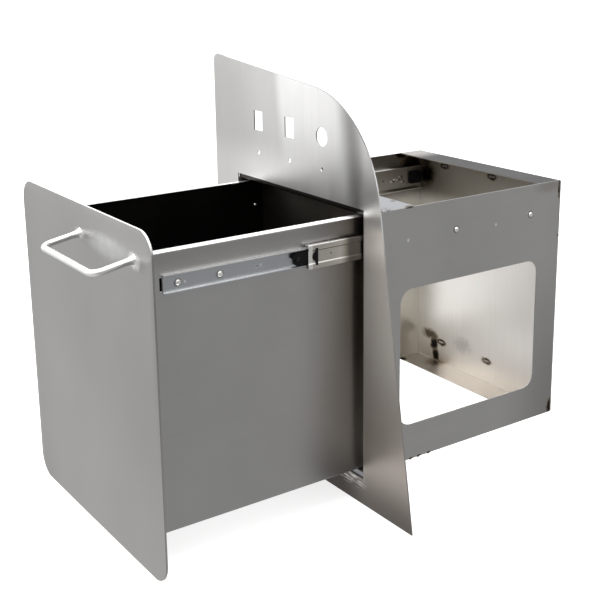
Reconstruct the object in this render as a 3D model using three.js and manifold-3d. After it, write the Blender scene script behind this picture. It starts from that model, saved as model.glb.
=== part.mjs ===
// A built-in pull-out waste bin in stainless sheet: a shaped fascia plate, an open chassis behind it,
// and a folded bin on a pair of three-section ball-bearing slides, drawn fully open.
//
// Millimetres. X is to the right seen from the front, Y runs into the cabinet, Z is up. The origin is
// on the centre line, on the fascia's rear face, level with the base of the chassis.

import * as THREE from 'three';
import { mergeVertices } from 'three/addons/utils/BufferGeometryUtils.js';
import Module from 'manifold-3d';

const wasm = await Module();
wasm.setup();

// ---- Driving sizes ---------------------------------------------------------------------------

const GAP = 0.3;                 // between pieces that touch

// Sheet thicknesses
const FASCIA_SHEET = 2;
const CHASSIS_SHEET = 1.5;
const BIN_SHEET = 1.2;
const FRONT_SHEET = 3;
const SLIDE_SHEET = 1.2;

// Bin
const BIN_WIDTH = 310;           // outside of the side walls
const BIN_DEPTH = 386;           // back of the front panel to the outside of the rear wall
const BIN_BASE = 3;              // underside of the bin above the base of the chassis
const BIN_HEIGHT = 388;
const BIN_RIM = 10.5;            // width of the rim turned inwards
const BIN_BEND = 1.6;            // inside radius of the bin's folds

// Front panel and handle
const PANEL_SIDE = 54;           // the panel beyond the bin on each side
const PANEL_DROP = 45;           // below the bin's underside
const PANEL_RISE = 40;           // above the bin's rim
const PANEL_RADIUS = 32;
const PANEL_STANDOFF = 1;        // between the shut panel and the fascia
const ROD = 9;                   // handle rod diameter
const HANDLE_SPAN = 164;         // between the centre lines of the two legs
const HANDLE_CENTRE = 78;        // the handle sits right of the centre line
const HANDLE_BELOW_TOP = 42;     // from the panel's top edge down to the legs
const HANDLE_REACH = 56;         // from the panel to the centre line of the grip
const HANDLE_BEND = 14;          // centre-line radius
const HANDLE_DROOP = 10;         // how far the grip hangs below the legs' feet

// Chassis
const HEADROOM = 2.5;            // over the bin's rim
const REAR_ROOM = 7.5;           // behind the shut bin
const SLIDE_SPACE = 13;          // between the bin's side and the chassis on each side
const FRONT_RAIL_DEPTH = 92;     // top front rail
const BASE_RAIL_DEPTH = 40;      // bottom front rail
const RAIL_LIP = 17;             // lips that carry the rails on the fascia
const REAR_FLANGE = 50;          // top and bottom flanges of the rear panel
const SIDE_FLANGE = 14;          // front flanges of the side panels
const CHASSIS_BEND = 1.5;

// Side windows
const WINDOW_FRONT = 65;         // from the fascia
const WINDOW_REAR = 47;          // from the back of the chassis
const WINDOW_BASE = 57;          // above the base of the chassis
const WINDOW_TOP = 53.5;         // under the slide
const WINDOW_RADIUS = 22;

// Small slots in the rear panel
const SLOT_LENGTH = 14;
const SLOT_WIDTH = 4;
const SLOT_TOP = 20;             // from the panel's top edge down to the upper slots
const SLOT_BASE = 41;
const SLOT_PLACES = [-104, 16];

// Fascia
const FASCIA_LEFT = 68;          // beyond the chassis opening
const FASCIA_RIGHT = 112;        // the same, at the foot of the right edge
const FASCIA_BELOW = 49;         // under the base of the chassis
const FASCIA_ABOVE = 197;        // top left corner over the chassis
const FASCIA_TOP_SLOPE = 0.1;    // fall of the top edge for each unit to the right
const FASCIA_SIDE_SLOPE = 0.166; // lean of the right edge for each unit of height
const FASCIA_SHOULDER = 175;     // radius of the big corner
const FASCIA_CORNER = 12;        // radius of the small corner
const OPENING_ABOVE = 7;         // fascia opening over the chassis top
const OPENING_BELOW = 8;         // and under its base
const SWITCH_WIDTH = 24;
const SWITCH_HEIGHT = 31;
const CONTROL_LEVEL = 100;       // controls above the chassis top
const SWITCH_PLACES = [-103, -16];
const KEY_HOLE = 28;
const KEY_PLACE = 68;
const KEY_DROP = 3;              // the round hole sits a little lower than the switches
const PILOT_HOLE = 6.5;
const PILOT_DROP = 50;           // small holes below the controls

// Slides
const SLIDE_DROP = 43;           // centre line below the bin's rim
const SLIDE_SHORTER = 36;        // the slide than the bin is deep
const TRAVEL_SHORTER = 4;        // the drawer's travel than the slide
const SLIDE_BEHIND = 3.5;        // between the slide and the rear panel
const INNER_AHEAD = 3;           // the inner member's front end past the outer one's, shut
const MIDDLE_SHORTER = 70;       // the middle member than the slide
const MIDDLE_BEHIND = 42;        // the middle member's front end behind the outer one's, shut
const OUTER_HEIGHT = 45;
const BALL_TRACK = 3.9;          // between the flanges that a row of balls runs between
const BALL_PLAY = 0.3;           // to each flange
const SLIDE_BEND = 0.5;
const CAGE_ROOM = 1.1;           // between the webs of the outer and middle members
const LIP_SPACE = 3.4;           // from the bin to the outer member's lips
const MIDDLE_LIP_SPACE = 2.8;    // and to the middle member's
const LIP_DROP = 2.5;            // from a flange's centre line to the end of its lip
const BAND_DEPTH = 0.9;          // the band pressed into the middle member's web
const BAND_HEIGHT = 17;
const CAGE_SHEET = 0.5;
const CAGE_PLAY = 0.3;           // between the outer cage and the members' webs
const INNER_CAGE_PLAY = 0.45;    // between the inner cage, the middle member and the lever
const CAGE_TIP = 0.8;            // from a lip to the edge of the cage
const LEVER_PROUD = 0.7;         // the lever beyond the inner member's flanges
const OUTER_CAGE_LENGTH = 150;
const INNER_CAGE_LENGTH = 110;
const OUTER_CAGE_BEHIND = 8;     // the outer cage's front end behind the outer member's, open
const INNER_CAGE_BEHIND = 14;    // and the inner cage's behind the middle member's
const OUTER_BALL_IN = 2.5;       // the outer balls' centres inside the middle member's web
const INNER_BALL_IN = 1.7;       // and the inner balls' inside the inner cage's
const BALL_PITCH = 16;

// Plastic pieces on the slides
const LEVER_AHEAD = 14;          // the lever's pivot before the middle member, open
const LEVER_LENGTH = 24;
const LEVER_HEIGHT = 18;
const LEVER_NOSE = 5;            // the finger tab at its front end
const LEVER_NOSE_HEIGHT = 7;
const LEVER_CHAMFER = 1.5;
const PIVOT = 5;
const BUMPER_LENGTH = 26;
const BUMPER_HEIGHT = 22;
const CLIP_BAR = 3.2;            // width of its upright bar
const CLIP_BELLY = 4.5;          // how far its middle bulges forwards
const CLIP_BELLY_HEIGHT = 13;
const CLIP_HEIGHT = 24;
const CLIP_BEHIND = 7.5;         // from the middle member's front end
const CLIP_FOOT_HEIGHT = 10;

// Screws, and spare holes, by their distance from the front end of the member they hold, or from
// its rear end
const SHANK = 3.6;
const SHANK_HOLE = 4.4;
const HEAD = 8;
const HEAD_HEIGHT = 2.4;
const SCREW_TIP = 3;             // a bin screw's end inside the bin
const CHASSIS_SCREWS = { front: [134], rear: [61] };
const CHASSIS_HOLES = { front: [23, 41], rear: [135, 87, 43] };
const BIN_SCREWS = { front: [21, 83], rear: [18] };
const BIN_HOLES = { front: [139], rear: [98] };
const HOOK = { ahead: 4.2, width: 3.5, height: 18 };   // slot in the bin's side before the slide

// ---- Places that follow ----------------------------------------------------------------------

const binHalf = BIN_WIDTH / 2;
const chassisHalf = binHalf + SLIDE_SPACE;
const panelHalf = binHalf + PANEL_SIDE;
const slideLength = BIN_DEPTH - SLIDE_SHORTER;
const middleLength = slideLength - MIDDLE_SHORTER;
const travel = slideLength - TRAVEL_SHORTER;       // from fully open to shut
const shutBack = -FASCIA_SHEET - PANEL_STANDOFF;   // the panel's back, shut
const panelBack = shutBack - travel;
const binFront = panelBack + GAP;
const binRear = panelBack + BIN_DEPTH;
const rimTop = BIN_BASE + BIN_HEIGHT;
const panelTop = rimTop + PANEL_RISE;
const panelBase = BIN_BASE - PANEL_DROP;
const chassisHeight = rimTop + HEADROOM + CHASSIS_SHEET;
const chassisDepth = shutBack + BIN_DEPTH + REAR_ROOM + CHASSIS_SHEET;
const controlLevel = chassisHeight + CONTROL_LEVEL;

// Slide places along Y, and its levels: u is measured out from the bin, v up from the centre line
const slideLevel = rimTop - SLIDE_DROP;
const outerRear = chassisDepth - CHASSIS_SHEET - SLIDE_BEHIND;
const outerFront = outerRear - slideLength;
const innerFront = outerFront - INNER_AHEAD - travel;
const middleFront = outerFront + MIDDLE_BEHIND - travel / 2;
const leverPivot = middleFront - LEVER_AHEAD;
const middleHeight = OUTER_HEIGHT - 2 * (SLIDE_SHEET + BALL_TRACK);
const innerHeight = middleHeight - 2 * (SLIDE_SHEET + BALL_TRACK);
const outerWeb = SLIDE_SPACE - GAP - SLIDE_SHEET;            // its inner face
const middleWeb = outerWeb - CAGE_ROOM;                      // its outer face
const bandFace = middleWeb - BAND_DEPTH - SLIDE_SHEET;       // the pressed band's inner face
const innerCageWeb = bandFace - INNER_CAGE_PLAY - CAGE_SHEET / 2;
const leverFace = innerCageWeb - CAGE_SHEET / 2 - INNER_CAGE_PLAY;
const innerLip = leverFace - LEVER_PROUD;
const ball = BALL_TRACK - 2 * BALL_PLAY;

const OUTER_CAGE = {
  length: OUTER_CAGE_LENGTH,
  front: outerFront + OUTER_CAGE_BEHIND,
  web: middleWeb + CAGE_PLAY + CAGE_SHEET / 2,
  tip: LIP_SPACE + SLIDE_SHEET + CAGE_TIP,
  ballAt: middleWeb - OUTER_BALL_IN,
  level: (middleHeight + BALL_TRACK) / 2,
};
const INNER_CAGE = {
  length: INNER_CAGE_LENGTH,
  front: middleFront + INNER_CAGE_BEHIND,
  web: innerCageWeb,
  tip: MIDDLE_LIP_SPACE + SLIDE_SHEET + CAGE_TIP,
  ballAt: innerCageWeb - INNER_BALL_IN,
  level: (innerHeight + BALL_TRACK) / 2,
};

const placed = ({ front, rear }, start) => [
  ...front.map((y) => start + y), ...rear.map((y) => start + slideLength - y)];
const chassisScrews = placed(CHASSIS_SCREWS, outerFront);
const chassisHoles = placed(CHASSIS_HOLES, outerFront);
const binScrews = placed(BIN_SCREWS, innerFront);
const binHoles = placed(BIN_HOLES, innerFront);

// ---- Looks -----------------------------------------------------------------------------------

const metal = (color, roughness) => ({ color, roughness, metalness: 1 });
const STAINLESS = metal(0xb9b7b4, 0.34);
const BIN_STEEL = metal(0x8f8e8c, 0.38);
const ZINC = metal(0xa4a7ab, 0.3);
const BRIGHT = metal(0xdedcd8, 0.2);
const BRASS_CAGE = metal(0x8d8b84, 0.4);
const BLACK = { color: 0x151515, roughness: 0.5, metalness: 0 };

// ---- Geometry helpers ------------------------------------------------------------------------

// Swap an extrusion drawn in X and Y, and thick along Z, so that it's drawn in X and Z and thick
// along Y, or drawn in Y and Z and thick along X.
const ACROSS_Y = new THREE.Matrix4().makeBasis(
  new THREE.Vector3(1, 0, 0), new THREE.Vector3(0, 0, 1), new THREE.Vector3(0, -1, 0));
const ACROSS_X = new THREE.Matrix4().makeBasis(
  new THREE.Vector3(0, 1, 0), new THREE.Vector3(0, 0, 1), new THREE.Vector3(1, 0, 0));

function extrude(shape, depth, segments = 8) {
  return new THREE.ExtrudeGeometry(shape, { depth, bevelEnabled: false, curveSegments: segments });
}

// A section drawn in X and Z that runs from y0 to y1
function alongY(shape, y0, y1, segments) {
  return extrude(shape, y1 - y0, segments).applyMatrix4(ACROSS_Y).translate(0, y1, 0);
}

// A section drawn in Y and Z that runs from x0 to x1
function alongX(shape, x0, x1, segments) {
  return extrude(shape, x1 - x0, segments).applyMatrix4(ACROSS_X).translate(x0, 0, 0);
}

function box(x0, x1, y0, y1, z0, z1) {
  return new THREE.BoxGeometry(x1 - x0, y1 - y0, z1 - z0)
    .translate((x0 + x1) / 2, (y0 + y1) / 2, (z0 + z1) / 2);
}

function toSolid(geometry) {
  const bare = geometry.clone();
  bare.deleteAttribute('normal');
  bare.deleteAttribute('uv');
  const welded = mergeVertices(bare, 1e-4);
  return new wasm.Manifold(new wasm.Mesh({
    numProp: 3,
    vertProperties: new Float32Array(welded.attributes.position.array),
    triVerts: new Uint32Array(welded.index.array),
  }));
}

function toGeometry(solid) {
  const mesh = solid.getMesh();
  const geometry = new THREE.BufferGeometry();
  geometry.setAttribute('position', new THREE.BufferAttribute(mesh.vertProperties, 3));
  geometry.setIndex(new THREE.BufferAttribute(mesh.triVerts, 1));
  geometry.computeVertexNormals();
  return geometry;
}

function join(...pieces) {
  return toGeometry(pieces.map(toSolid).reduce((whole, piece) => whole.add(piece)));
}

function cut(piece, ...tools) {
  return toGeometry(tools.map(toSolid).reduce((rest, tool) => rest.subtract(tool), toSolid(piece)));
}

// A rectangle with round corners, as a closed path
function roundedRectangle(x0, x1, y0, y1, r, path = new THREE.Shape()) {
  path.moveTo(x0 + r, y0);
  path.lineTo(x1 - r, y0);
  path.absarc(x1 - r, y0 + r, r, -Math.PI / 2, 0);
  path.lineTo(x1, y1 - r);
  path.absarc(x1 - r, y1 - r, r, 0, Math.PI / 2);
  path.lineTo(x0 + r, y1);
  path.absarc(x0 + r, y1 - r, r, Math.PI / 2, Math.PI);
  path.lineTo(x0, y0 + r);
  path.absarc(x0 + r, y0 + r, r, Math.PI, Math.PI * 1.5);
  return path;
}

function rectangle(x0, x1, y0, y1) {
  return new THREE.Shape([
    new THREE.Vector2(x0, y0), new THREE.Vector2(x1, y0),
    new THREE.Vector2(x1, y1), new THREE.Vector2(x0, y1)]);
}

function circle(x, y, diameter) {
  return new THREE.Shape().absarc(x, y, diameter / 2, 0, Math.PI * 2);
}

// The arc that rounds the corner at `at`, between the points before and after it
function fillet(before, at, after, radius, steps) {
  const back = before.clone().sub(at).normalize();
  const on = after.clone().sub(at).normalize();
  const half = Math.acos(back.dot(on)) / 2;
  const centre = back.clone().add(on).setLength(radius / Math.sin(half)).add(at);
  const from = back.multiplyScalar(radius / Math.tan(half)).add(at).sub(centre);
  const to = on.multiplyScalar(radius / Math.tan(half)).add(at).sub(centre);
  const turn = Math.atan2(from.cross(to), from.dot(to));
  return Array.from({ length: steps + 1 }, (_, i) =>
    from.clone().rotateAround(new THREE.Vector2(), turn * i / steps).add(centre));
}

// The section of a sheet folded along a line of corners, with an inside bend radius
function foldedSheet(corners, sheet, bend, steps = 3) {
  const points = corners.map(([x, y]) => new THREE.Vector2(x, y));
  const line = points.flatMap((point, i) =>
    i === 0 || i === points.length - 1
      ? [point]
      : fillet(points[i - 1], point, points[i + 1], bend + sheet / 2, steps));
  const side = (sign) => line.map((point, i) => {
    const on = line[Math.min(i + 1, line.length - 1)].clone().sub(line[Math.max(i - 1, 0)]).normalize();
    return new THREE.Vector2(-on.y, on.x).multiplyScalar(sign * sheet / 2).add(point);
  });
  return new THREE.Shape([...side(1), ...side(-1).reverse()]);
}

// ---- Fascia ----------------------------------------------------------------------------------

// Where the slanted top edge and the leaning right edge would meet
function shoulderPoint() {
  const baseX = chassisHalf + FASCIA_RIGHT - FASCIA_BELOW * FASCIA_SIDE_SLOPE;
  const levelAtZero = chassisHeight + FASCIA_ABOVE - (chassisHalf + FASCIA_LEFT) * FASCIA_TOP_SLOPE;
  const z = (levelAtZero - FASCIA_TOP_SLOPE * baseX) / (1 - FASCIA_TOP_SLOPE * FASCIA_SIDE_SLOPE);
  return new THREE.Vector2(baseX - FASCIA_SIDE_SLOPE * z, z);
}

function fasciaPlate() {
  const baseLeft = new THREE.Vector2(-chassisHalf - FASCIA_LEFT, -FASCIA_BELOW);
  const baseRight = new THREE.Vector2(chassisHalf + FASCIA_RIGHT, -FASCIA_BELOW);
  const topLeft = new THREE.Vector2(-chassisHalf - FASCIA_LEFT, chassisHeight + FASCIA_ABOVE);
  const shoulder = shoulderPoint();
  const outline = new THREE.Shape([
    baseLeft,
    baseRight,
    ...fillet(baseRight, shoulder, topLeft, FASCIA_SHOULDER, 28),
    ...fillet(shoulder, topLeft, baseLeft, FASCIA_CORNER, 6),
  ]);
  const through = (shape, segments) => alongY(shape, -FASCIA_SHEET - 5, 5, segments);
  const round = (x, z, diameter) => through(circle(x, z, diameter), 12);
  const half = SWITCH_WIDTH / 2;
  const tall = SWITCH_HEIGHT / 2;
  return cut(alongY(outline, -FASCIA_SHEET, 0),
    through(rectangle(-chassisHalf, chassisHalf, -OPENING_BELOW, chassisHeight + OPENING_ABOVE)),
    ...SWITCH_PLACES.map((x) =>
      through(rectangle(x - half, x + half, controlLevel - tall, controlLevel + tall))),
    round(KEY_PLACE, controlLevel - KEY_DROP, KEY_HOLE),
    ...[...SWITCH_PLACES, KEY_PLACE].map((x) => round(x, controlLevel - PILOT_DROP, PILOT_HOLE)));
}

// ---- Chassis ---------------------------------------------------------------------------------

// A disc that cuts a hole through a wall standing along Y, at height z
function crossHole(x0, x1, y, z, diameter = SHANK_HOLE) {
  const disc = new THREE.CylinderGeometry(diameter / 2, diameter / 2, x1 - x0, 16);
  return disc.rotateZ(Math.PI / 2).translate((x0 + x1) / 2, y, z);
}

// Both ends of a span given outwards from the centre line, put on one side
function span(side, near, far) {
  return side > 0 ? [near, far] : [-far, -near];
}

function sidePanel(side) {
  const rear = chassisDepth - CHASSIS_SHEET - GAP;
  const wall = chassisHalf + CHASSIS_SHEET / 2;
  const lip = GAP + CHASSIS_SHEET / 2;
  const panel = extrude(
    foldedSheet([[side * wall, rear], [side * wall, lip], [side * (wall + SIDE_FLANGE), lip]],
      CHASSIS_SHEET, CHASSIS_BEND),
    chassisHeight);
  const [x0, x1] = span(side, chassisHalf - 5, chassisHalf + CHASSIS_SHEET + 5);
  const window = alongX(
    roundedRectangle(WINDOW_FRONT, chassisDepth - WINDOW_REAR,
      WINDOW_BASE, slideLevel - OUTER_HEIGHT / 2 - WINDOW_TOP, WINDOW_RADIUS), x0, x1, 8);
  return cut(panel, window, ...chassisScrews.map((y) => crossHole(x0, x1, y, slideLevel)));
}

function rearPanel() {
  const wall = chassisDepth - CHASSIS_SHEET / 2;
  const front = chassisDepth - REAR_FLANGE;
  const low = CHASSIS_SHEET / 2;
  const high = chassisHeight - CHASSIS_SHEET / 2;
  const half = chassisHalf + CHASSIS_SHEET;
  const sheet = alongX(
    foldedSheet([[front, low], [wall, low], [wall, high], [front, high]], CHASSIS_SHEET, CHASSIS_BEND),
    -half, half);
  const relief = [-1, 1].map((side) => {
    const [x0, x1] = span(side, chassisHalf - GAP, half + 5);
    return box(x0, x1, front - 5, chassisDepth - CHASSIS_SHEET, -5, chassisHeight + 5);
  });
  const slots = SLOT_PLACES.flatMap((x) => [SLOT_BASE, chassisHeight - SLOT_TOP].map((z) =>
    alongY(roundedRectangle(x - SLOT_LENGTH / 2, x + SLOT_LENGTH / 2,
      z - SLOT_WIDTH / 2, z + SLOT_WIDTH / 2, SLOT_WIDTH / 2 - 0.01), wall - 5, wall + 5, 4)));
  return cut(sheet, ...relief, ...slots);
}

// A rail between the side panels, with a lip on the fascia
function frontRail(level, depth, lipEnd) {
  const lip = GAP + CHASSIS_SHEET / 2;
  const half = chassisHalf - GAP;
  return alongX(
    foldedSheet([[depth, level], [lip, level], [lip, lipEnd]], CHASSIS_SHEET, CHASSIS_BEND),
    -half, half);
}

// ---- Bin -------------------------------------------------------------------------------------

// The bin's two sides and floor, folded from one sheet, with its rims turned inwards
function binWrap() {
  const wall = binHalf - BIN_SHEET / 2;
  const rim = binHalf - BIN_RIM;
  const top = rimTop - BIN_SHEET / 2;
  const floor = BIN_BASE + BIN_SHEET / 2;
  const sheet = alongY(
    foldedSheet([[-rim, top], [-wall, top], [-wall, floor], [wall, floor], [wall, top], [rim, top]],
      BIN_SHEET, BIN_BEND),
    binFront, binRear);
  const holes = [-1, 1].flatMap((side) => {
    const [x0, x1] = span(side, binHalf - 5, binHalf + 5);
    const hookFront = innerFront - HOOK.ahead;
    const hook = box(x0, x1, hookFront, hookFront + HOOK.width,
      slideLevel - HOOK.height / 2, slideLevel + HOOK.height / 2);
    return [hook, ...binScrews.map((y) => crossHole(x0, x1, y, slideLevel))];
  });
  return cut(sheet, ...holes);
}

function binEndShape() {
  const half = binHalf - BIN_SHEET - GAP;
  const rim = binHalf - BIN_RIM - GAP;
  const floor = BIN_BASE + BIN_SHEET + GAP;
  const shoulder = rimTop - BIN_SHEET - GAP;
  const shape = new THREE.Shape();
  shape.moveTo(-half + BIN_BEND, floor);
  shape.lineTo(half - BIN_BEND, floor);
  shape.lineTo(half, floor + BIN_BEND);
  shape.lineTo(half, shoulder - BIN_BEND);
  shape.lineTo(half - BIN_BEND, shoulder);
  shape.lineTo(rim, shoulder);
  shape.lineTo(rim, rimTop);
  shape.lineTo(-rim, rimTop);
  shape.lineTo(-rim, shoulder);
  shape.lineTo(-half + BIN_BEND, shoulder);
  shape.lineTo(-half, shoulder - BIN_BEND);
  shape.lineTo(-half, floor + BIN_BEND);
  shape.closePath();
  return shape;
}

function binFrontWall() {
  return alongY(binEndShape(), binFront, binFront + BIN_SHEET);
}

// The rear wall carries a rim turned forwards between the side rims
function binRearWall() {
  const rim = binHalf - BIN_RIM - GAP;
  const wall = alongY(binEndShape(), binRear - BIN_SHEET, binRear);
  return join(wall, box(-rim, rim, binRear - BIN_RIM, binRear - BIN_SHEET / 2, rimTop - BIN_SHEET, rimTop));
}

function frontPanel() {
  return alongY(roundedRectangle(-panelHalf, panelHalf, panelBase, panelTop, PANEL_RADIUS),
    panelBack - FRONT_SHEET, panelBack, 12);
}

// One bent rod: two legs welded to the panel and a grip between them
function handle() {
  const face = panelBack - FRONT_SHEET - GAP;
  const reach = HANDLE_REACH;
  const half = HANDLE_SPAN / 2;
  const bend = HANDLE_BEND;
  const corner = (side) => new THREE.QuadraticBezierCurve3(
    new THREE.Vector3(side * half, -reach + bend, 0),
    new THREE.Vector3(side * half, -reach, 0),
    new THREE.Vector3(side * (half - bend), -reach, 0));
  const route = [new THREE.Vector3(-half, 0, 0), ...corner(-1).getPoints(6),
    ...corner(1).getPoints(6).reverse(), new THREE.Vector3(half, 0, 0)];
  const path = new THREE.CurvePath();
  for (let i = 1; i < route.length; i++) {
    path.add(new THREE.LineCurve3(route[i - 1], route[i]));
  }
  const section = new THREE.Shape().absarc(0, 0, ROD / 2, 0, Math.PI * 2);
  const rod = new THREE.ExtrudeGeometry(section, { steps: 32, extrudePath: path, curveSegments: 6 });
  rod.rotateX(Math.atan2(HANDLE_DROOP, reach));
  rod.translate(HANDLE_CENTRE, face, panelTop - HANDLE_BELOW_TOP);
  const trim = box(HANDLE_CENTRE - half * 2, HANDLE_CENTRE + half * 2, face, face + ROD * 2,
    panelTop - HANDLE_BELOW_TOP - ROD * 2, panelTop - HANDLE_BELOW_TOP + ROD * 2);
  return cut(rod, trim);
}

// ---- Slides ----------------------------------------------------------------------------------

// A slide section drawn outwards from the bin's side, set on one side of the bin
function slideSection(side, corners, sheet, bend) {
  return foldedSheet(
    corners.map(([u, v]) => [side * (binHalf + u), slideLevel + v]), sheet, bend);
}

function mirrored(corners) {
  return [...corners, ...corners.map(([u, v]) => [u, -v]).reverse()];
}

function outerMember(side) {
  const flange = (OUTER_HEIGHT - SLIDE_SHEET) / 2;
  const web = outerWeb + SLIDE_SHEET / 2;
  const lip = LIP_SPACE + SLIDE_SHEET / 2;
  const member = alongY(
    slideSection(side, mirrored([[lip, flange - LIP_DROP], [lip, flange], [web, flange]]),
      SLIDE_SHEET, SLIDE_BEND),
    outerFront, outerRear);
  const [x0, x1] = span(side, binHalf + web - 2, binHalf + web + 2);
  return cut(member, ...[...chassisScrews, ...chassisHoles].map((y) => crossHole(x0, x1, y, slideLevel)));
}

function middleMember(side) {
  const flange = (middleHeight - SLIDE_SHEET) / 2;
  const web = middleWeb - SLIDE_SHEET / 2;
  const lip = MIDDLE_LIP_SPACE + SLIDE_SHEET / 2;
  const band = BAND_HEIGHT / 2;
  return alongY(
    slideSection(side, mirrored([[lip, flange - LIP_DROP], [lip, flange], [web, flange],
      [web, band + 2], [web - BAND_DEPTH, band]]), SLIDE_SHEET, SLIDE_BEND),
    middleFront, middleFront + middleLength);
}

function innerMember(side) {
  const flange = (innerHeight - SLIDE_SHEET) / 2;
  const web = GAP + SLIDE_SHEET / 2;
  const member = alongY(
    slideSection(side, mirrored([[innerLip, flange], [web, flange]]), SLIDE_SHEET, SLIDE_BEND),
    innerFront, innerFront + slideLength);
  const [x0, x1] = span(side, binHalf - 2, binHalf + web + 2);
  const [p0, p1] = span(side, binHalf + web, binHalf + leverFace - 1);
  const drilled = cut(member, ...[...binScrews, ...binHoles].map((y) => crossHole(x0, x1, y, slideLevel)));
  return join(drilled, crossHole(p0, p1, leverPivot, slideLevel, PIVOT));
}

// A retainer strip with its two rows of balls
function ballCage(side, { length, front, web, tip, ballAt, level }) {
  const strip = alongY(
    slideSection(side, mirrored([[tip, level], [web, level]]), CAGE_SHEET, CAGE_SHEET / 2),
    front, front + length);
  const count = Math.floor((length - ball * 2) / BALL_PITCH) + 1;
  const start = front + (length - (count - 1) * BALL_PITCH) / 2;
  const balls = [-1, 1].flatMap((row) => Array.from({ length: count }, (_, i) =>
    new THREE.SphereGeometry(ball / 2, 6, 4)
      .translate(side * (binHalf + ballAt), start + i * BALL_PITCH, slideLevel + row * level)));
  return join(strip, ...balls);
}

// A release lever that turns on the inner member's pivot
function releaseLever(side) {
  const top = slideLevel + LEVER_HEIGHT / 2;
  const base = slideLevel - LEVER_HEIGHT / 2;
  const front = leverPivot - LEVER_LENGTH * 0.4;
  const neck = front + LEVER_NOSE;
  const rear = front + LEVER_LENGTH;
  const outline = [[neck + LEVER_CHAMFER, base], [rear, base], [rear, top], [neck, top],
    [front + LEVER_CHAMFER, top - LEVER_CHAMFER], [front, top - 2 * LEVER_CHAMFER],
    [front, top - LEVER_NOSE_HEIGHT], [front + LEVER_CHAMFER, top - LEVER_NOSE_HEIGHT - LEVER_CHAMFER],
    [neck, top - LEVER_NOSE_HEIGHT - LEVER_CHAMFER], [neck, base + LEVER_CHAMFER]];
  const shape = new THREE.Shape(outline.map(([y, z]) => new THREE.Vector2(y, z)));
  shape.holes.push(circle(leverPivot, slideLevel, PIVOT + 2 * GAP));
  return alongX(shape, ...span(side, binHalf + 2 * GAP + SLIDE_SHEET, binHalf + leverFace), 5);
}

// A plastic stop in the rear end of the outer member
function rearBumper(side) {
  const rear = outerRear - 1;
  const shape = roundedRectangle(rear - BUMPER_LENGTH, rear,
    slideLevel - BUMPER_HEIGHT / 2, slideLevel + BUMPER_HEIGHT / 2, 2);
  const near = binHalf + innerLip + GAP;
  const far = binHalf + outerWeb - GAP;
  return alongX(shape, ...span(side, near, far), 3);
}

// A plastic clip on the web of the middle member, with a foot in its pressed band
function middleClip(side) {
  const front = middleFront + CLIP_BEHIND;
  const bar = front + CLIP_BELLY;
  const rear = bar + CLIP_BAR;
  const far = binHalf + outerWeb - GAP;
  const near = binHalf + middleWeb + GAP;
  const foot = binHalf + middleWeb - BAND_DEPTH + GAP;
  const belly = CLIP_BELLY_HEIGHT / 2;
  const shape = new THREE.Shape();
  shape.moveTo(rear, slideLevel - CLIP_HEIGHT / 2);
  shape.lineTo(rear, slideLevel + CLIP_HEIGHT / 2);
  shape.lineTo(bar, slideLevel + CLIP_HEIGHT / 2);
  shape.lineTo(bar, slideLevel + belly);
  shape.quadraticCurveTo(front, slideLevel + belly * 0.8, front, slideLevel);
  shape.quadraticCurveTo(front, slideLevel - belly * 0.8, bar, slideLevel - belly);
  shape.lineTo(bar, slideLevel - CLIP_HEIGHT / 2);
  const plate = alongX(shape, ...span(side, near, far), 4);
  const [x0, x1] = span(side, foot, far);
  return join(plate, box(x0, x1, bar - 1, rear - 0.5,
    slideLevel - CLIP_FOOT_HEIGHT / 2, slideLevel + CLIP_FOOT_HEIGHT / 2));
}

// ---- Screws ----------------------------------------------------------------------------------

// A pan-head screw along X: its head's underside at `seat`, its shank inwards for `length`
function panScrew(side, y, seat, length) {
  const profile = [[0, -length], [SHANK / 2 - 0.4, -length], [SHANK / 2, -length + 0.6], [SHANK / 2, 0],
    [HEAD / 2, 0], [HEAD / 2, HEAD_HEIGHT * 0.5], [HEAD / 2 - 1.6, HEAD_HEIGHT], [0, HEAD_HEIGHT]];
  const screw = new THREE.LatheGeometry(profile.map(([x, z]) => new THREE.Vector2(x, z)), 12);
  return screw.rotateZ(-side * Math.PI / 2).translate(side * seat, y, slideLevel);
}

// ---- The whole -------------------------------------------------------------------------------

const group = new THREE.Group();

function add(name, geometry, look) {
  const mesh = new THREE.Mesh(geometry, new THREE.MeshStandardMaterial(look));
  mesh.name = name;
  group.add(mesh);
}

add('fascia_plate', fasciaPlate(), STAINLESS);
add('rear_panel', rearPanel(), STAINLESS);
add('top_front_rail', frontRail(chassisHeight - CHASSIS_SHEET / 2, FRONT_RAIL_DEPTH,
  chassisHeight + RAIL_LIP), STAINLESS);
add('bottom_front_rail', frontRail(CHASSIS_SHEET / 2, BASE_RAIL_DEPTH, -RAIL_LIP), STAINLESS);
add('bin_wrap', binWrap(), BIN_STEEL);
add('bin_front_wall', binFrontWall(), BIN_STEEL);
add('bin_rear_wall', binRearWall(), BIN_STEEL);
add('front_panel', frontPanel(), STAINLESS);
add('handle', handle(), BRIGHT);

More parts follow.
